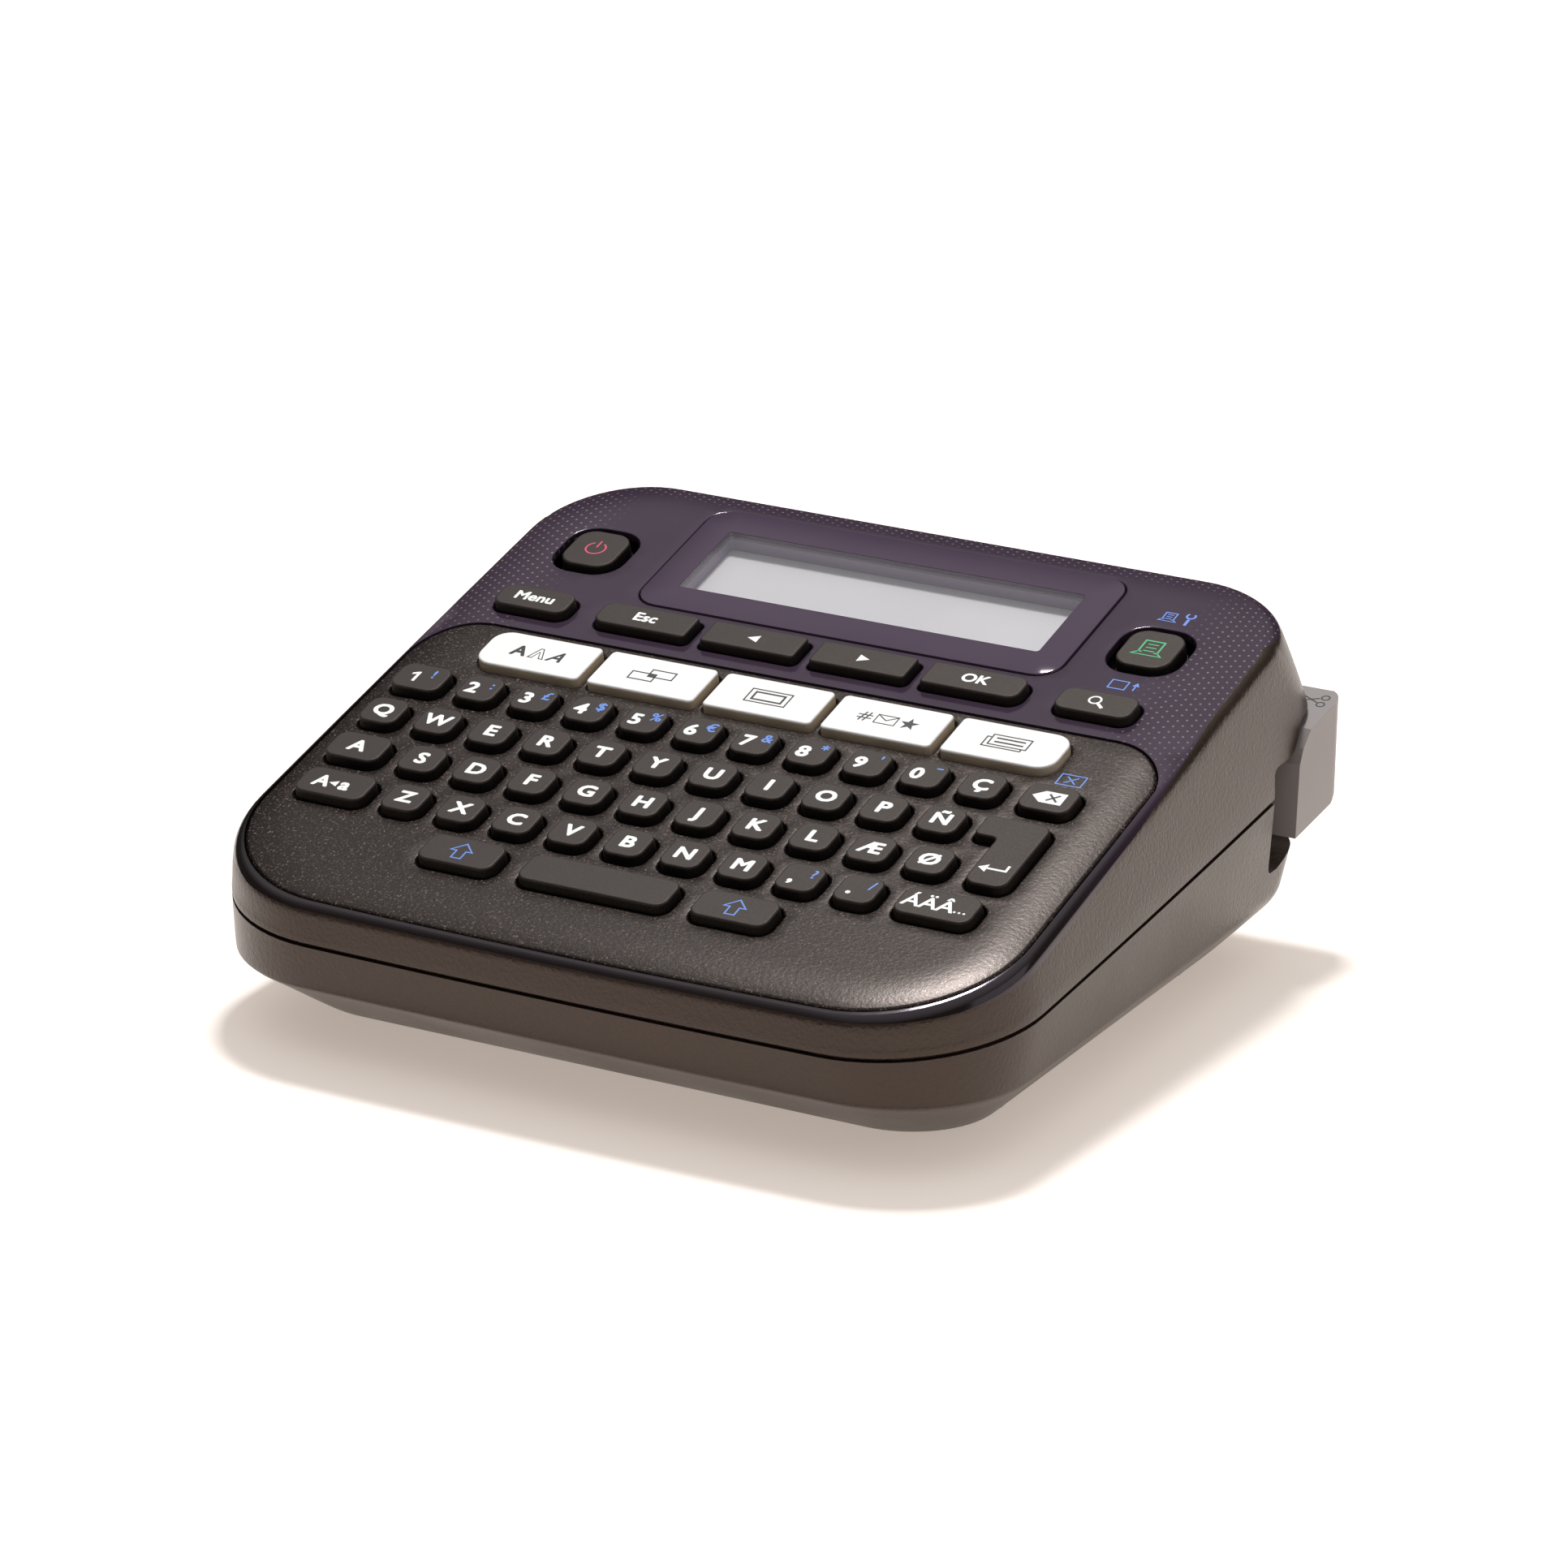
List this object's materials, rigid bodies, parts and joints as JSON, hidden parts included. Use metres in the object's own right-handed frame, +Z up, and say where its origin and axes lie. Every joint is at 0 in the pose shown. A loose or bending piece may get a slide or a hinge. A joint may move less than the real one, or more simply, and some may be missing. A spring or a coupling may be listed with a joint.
{
  "type": "desktop label maker",
  "caption": "Desktop tape label maker: sloping keyboard deck, tinted display window, side cutter lever that swings down at the back corner and an underside cover over its tape cassette.",
  "frame": {"origin": "middle of the footprint, on the surface that the feet stand on", "axes": "+Y towards the back, where the label comes out; +X to the user's right, the side with the cutter lever; +Z up"},
  "size_m": [0.157, 0.1491, 0.0659],
  "materials": {
    "casing": "satin, fine grain",
    "panel": "glossy, fine light dots",
    "plate": "matt, fine sparkle",
    "window": "tinted, glossy",
    "display": "pale grey liquid crystal",
    "inner_plastic": "moulded",
    "rubber": "matt",
    "key": "soft touch",
    "white_key": "satin",
    "steel": "satin",
    "aluminium": "satin",
    "brass": "satin",
    "board": "coated board",
    "gear": "moulded",
    "cassette": "moulded",
    "tape": "wound film",
    "ribbon": "wound film",
    "lever": "satin",
    "cell": "printed sleeve"
  },
  "bodies": {
    "casing": {"upper_casing": "casing", "top_panel": "panel", "keyboard_plate": "plate", "display_window": "window", "display_panel": "display", "display_frame": "inner_plastic", "lower_casing": "casing", "rubber_feet": "rubber", "casing_screws": "steel", "key_mat": "rubber", "main_board": "board", "tape_bay": "inner_plastic", "print_head": "steel", "heat_sink": "aluminium", "feed_motor": "steel", "lever_pin": "steel", "lever_spring": "steel", "blade_pin": "steel", "battery_tray": "inner_plastic", "battery_cells": "cell", "battery_contacts": "brass", "battery_springs": "steel", "adapter_socket": "inner_plastic"},
    "idler": {"idler_gear": "gear"},
    "pinion": {"motor_pinion": "brass"},
    "platen": {"platen_gear": "gear", "platen_roller": "rubber"},
    "ribbon_shaft": {"ribbon_drive": "gear"},
    "cassette": {"cassette_shell": "cassette"},
    "roll": {"tape_roll": "tape"},
    "ribbon_supply": {"ribbon_spool": "ribbon"},
    "ribbon_takeup": {"takeup_spool": "ribbon"},
    "lever": {"cutter_lever": "lever"},
    "blade": {"cutter_blade": "steel"},
    "cover": {"underside_cover": "casing"},
    "power_key": {"power_key": "key"},
    "menu_key": {"menu_key": "key"},
    "escape_key": {"escape_key": "key"},
    "left_key": {"left_key": "key"},
    "right_key": {"right_key": "key"},
    "ok_key": {"ok_key": "key"},
    "preview_key": {"preview_key": "key"},
    "print_key": {"print_key": "key"},
    "number_keys": {"number_keys": "key"},
    "upper_letter_keys": {"upper_letter_keys": "key"},
    "home_letter_keys": {"home_letter_keys": "key"},
    "lower_letter_keys": {"lower_letter_keys": "key"},
    "delete_key": {"delete_key": "key"},
    "enter_key": {"enter_key": "key"},
    "caps_key": {"caps_key": "key"},
    "accent_key": {"accent_key": "key"},
    "left_shift_key": {"left_shift_key": "key"},
    "space_key": {"space_key": "key"},
    "right_shift_key": {"right_shift_key": "key"},
    "font_key": {"font_key": "white_key"},
    "style_key": {"style_key": "white_key"},
    "frame_key": {"frame_key": "white_key"},
    "symbol_key": {"symbol_key": "white_key"},
    "template_key": {"template_key": "white_key"}
  },
  "joints": [
    {"name": "idler_spin", "type": "hinge", "parent": "casing", "child": "idler", "pos_m": [0.04, 0.0378, 0.026], "axis": [0, 0, 1], "continuous": true},
    {"name": "pinion_spin", "type": "hinge", "parent": "casing", "child": "pinion", "pos_m": [0.04, 0.0222, 0.026], "axis": [0, 0, 1], "continuous": true},
    {"name": "platen_spin", "type": "hinge", "parent": "casing", "child": "platen", "pos_m": [0.0575, 0.042, 0.026], "axis": [0, 0, 1], "continuous": true},
    {"name": "ribbon_shaft_spin", "type": "hinge", "parent": "casing", "child": "ribbon_shaft", "pos_m": [0.0192, 0.0407, 0.026], "axis": [0, 0, 1], "continuous": true},
    {"name": "cover_off", "type": "slide", "parent": "casing", "child": "cover", "axis": [0, 0, -1], "range_m": [0, 0.045]},
    {"name": "cassette_out", "type": "slide", "parent": "casing", "child": "cassette", "axis": [0, 0, -1], "range_m": [0, 0.03]},
    {"name": "roll_spin", "type": "hinge", "parent": "cassette", "child": "roll", "pos_m": [-0.003, 0.025, 0.015], "axis": [0, 0, 1], "continuous": true},
    {"name": "ribbon_supply_spin", "type": "hinge", "parent": "cassette", "child": "ribbon_supply", "pos_m": [0.033, 0.017, 0.015], "axis": [0, 0, 1], "continuous": true},
    {"name": "ribbon_takeup_spin", "type": "hinge", "parent": "cassette", "child": "ribbon_takeup", "pos_m": [0.0192, 0.0407, 0.015], "axis": [0, 0, 1], "continuous": true},
    {"name": "lever_press", "type": "hinge", "parent": "casing", "child": "lever", "pos_m": [0.067, 0.042, 0.034], "axis": [-1, 0, 0], "range_deg": [0, 10.5], "stiffness_Nm_per_rad": 1.2},
    {"name": "blade_swing", "type": "hinge", "parent": "casing", "child": "blade", "pos_m": [0.046, 0.0605, 0.012], "axis": [0, 1, 0], "range_deg": [0, 18]},
    {"name": "power_key_press", "type": "slide", "parent": "casing", "child": "power_key", "axis": [0, 0.2538, -0.9673], "range_m": [0, 0.001], "stiffness_N_per_m": 400},
    {"name": "menu_key_press", "type": "slide", "parent": "casing", "child": "menu_key", "axis": [0, 0.2538, -0.9673], "range_m": [0, 0.001], "stiffness_N_per_m": 400},
    {"name": "escape_key_press", "type": "slide", "parent": "casing", "child": "escape_key", "axis": [0, 0.2538, -0.9673], "range_m": [0, 0.001], "stiffness_N_per_m": 400},
    {"name": "left_key_press", "type": "slide", "parent": "casing", "child": "left_key", "axis": [0, 0.2538, -0.9673], "range_m": [0, 0.001], "stiffness_N_per_m": 400},
    {"name": "right_key_press", "type": "slide", "parent": "casing", "child": "right_key", "axis": [0, 0.2538, -0.9673], "range_m": [0, 0.001], "stiffness_N_per_m": 400},
    {"name": "ok_key_press", "type": "slide", "parent": "casing", "child": "ok_key", "axis": [0, 0.2538, -0.9673], "range_m": [0, 0.001], "stiffness_N_per_m": 400},
    {"name": "preview_key_press", "type": "slide", "parent": "casing", "child": "preview_key", "axis": [0, 0.2538, -0.9673], "range_m": [0, 0.001], "stiffness_N_per_m": 400},
    {"name": "print_key_press", "type": "slide", "parent": "casing", "child": "print_key", "axis": [0, 0.2538, -0.9673], "range_m": [0, 0.001], "stiffness_N_per_m": 400},
    {"name": "number_keys_press", "type": "slide", "parent": "casing", "child": "number_keys", "axis": [0, 0.2538, -0.9673], "range_m": [0, 0.001], "stiffness_N_per_m": 400},
    {"name": "upper_letter_keys_press", "type": "slide", "parent": "casing", "child": "upper_letter_keys", "axis": [0, 0.2538, -0.9673], "range_m": [0, 0.001], "stiffness_N_per_m": 400},
    {"name": "home_letter_keys_press", "type": "slide", "parent": "casing", "child": "home_letter_keys", "axis": [0, 0.2538, -0.9673], "range_m": [0, 0.001], "stiffness_N_per_m": 400},
    {"name": "lower_letter_keys_press", "type": "slide", "parent": "casing", "child": "lower_letter_keys", "axis": [0, 0.2538, -0.9673], "range_m": [0, 0.001], "stiffness_N_per_m": 400},
    {"name": "delete_key_press", "type": "slide", "parent": "casing", "child": "delete_key", "axis": [0, 0.2538, -0.9673], "range_m": [0, 0.001], "stiffness_N_per_m": 400},
    {"name": "enter_key_press", "type": "slide", "parent": "casing", "child": "enter_key", "axis": [0, 0.2538, -0.9673], "range_m": [0, 0.001], "stiffness_N_per_m": 400},
    {"name": "caps_key_press", "type": "slide", "parent": "casing", "child": "caps_key", "axis": [0, 0.2538, -0.9673], "range_m": [0, 0.001], "stiffness_N_per_m": 400},
    {"name": "accent_key_press", "type": "slide", "parent": "casing", "child": "accent_key", "axis": [0, 0.2538, -0.9673], "range_m": [0, 0.001], "stiffness_N_per_m": 400},
    {"name": "left_shift_key_press", "type": "slide", "parent": "casing", "child": "left_shift_key", "axis": [0, 0.2538, -0.9673], "range_m": [0, 0.001], "stiffness_N_per_m": 400},
    {"name": "space_key_press", "type": "slide", "parent": "casing", "child": "space_key", "axis": [0, 0.2538, -0.9673], "range_m": [0, 0.001], "stiffness_N_per_m": 400},
    {"name": "right_shift_key_press", "type": "slide", "parent": "casing", "child": "right_shift_key", "axis": [0, 0.2538, -0.9673], "range_m": [0, 0.001], "stiffness_N_per_m": 400},
    {"name": "font_key_press", "type": "slide", "parent": "casing", "child": "font_key", "axis": [0, 0.2538, -0.9673], "range_m": [0, 0.001], "stiffness_N_per_m": 400},
    {"name": "style_key_press", "type": "slide", "parent": "casing", "child": "style_key", "axis": [0, 0.2538, -0.9673], "range_m": [0, 0.001], "stiffness_N_per_m": 400},
    {"name": "frame_key_press", "type": "slide", "parent": "casing", "child": "frame_key", "axis": [0, 0.2538, -0.9673], "range_m": [0, 0.001], "stiffness_N_per_m": 400},
    {"name": "symbol_key_press", "type": "slide", "parent": "casing", "child": "symbol_key", "axis": [0, 0.2538, -0.9673], "range_m": [0, 0.001], "stiffness_N_per_m": 400},
    {"name": "template_key_press", "type": "slide", "parent": "casing", "child": "template_key", "axis": [0, 0.2538, -0.9673], "range_m": [0, 0.001], "stiffness_N_per_m": 400}
  ],
  "couplings": [
    {"joint": "pinion_spin", "follows": "idler_spin", "ratio": -3.3333},
    {"joint": "platen_spin", "follows": "idler_spin", "ratio": -2},
    {"joint": "ribbon_shaft_spin", "follows": "idler_spin", "ratio": -1.3333},
    {"joint": "ribbon_takeup_spin", "follows": "idler_spin", "ratio": -1.3333},
    {"joint": "roll_spin", "follows": "idler_spin", "ratio": 0.44444},
    {"joint": "ribbon_supply_spin", "follows": "idler_spin", "ratio": 0.91667},
    {"joint": "cassette_out", "follows": "cover_off", "ratio": 0.6},
    {"joint": "blade_swing", "follows": "lever_press", "ratio": 1.6}
  ]
}
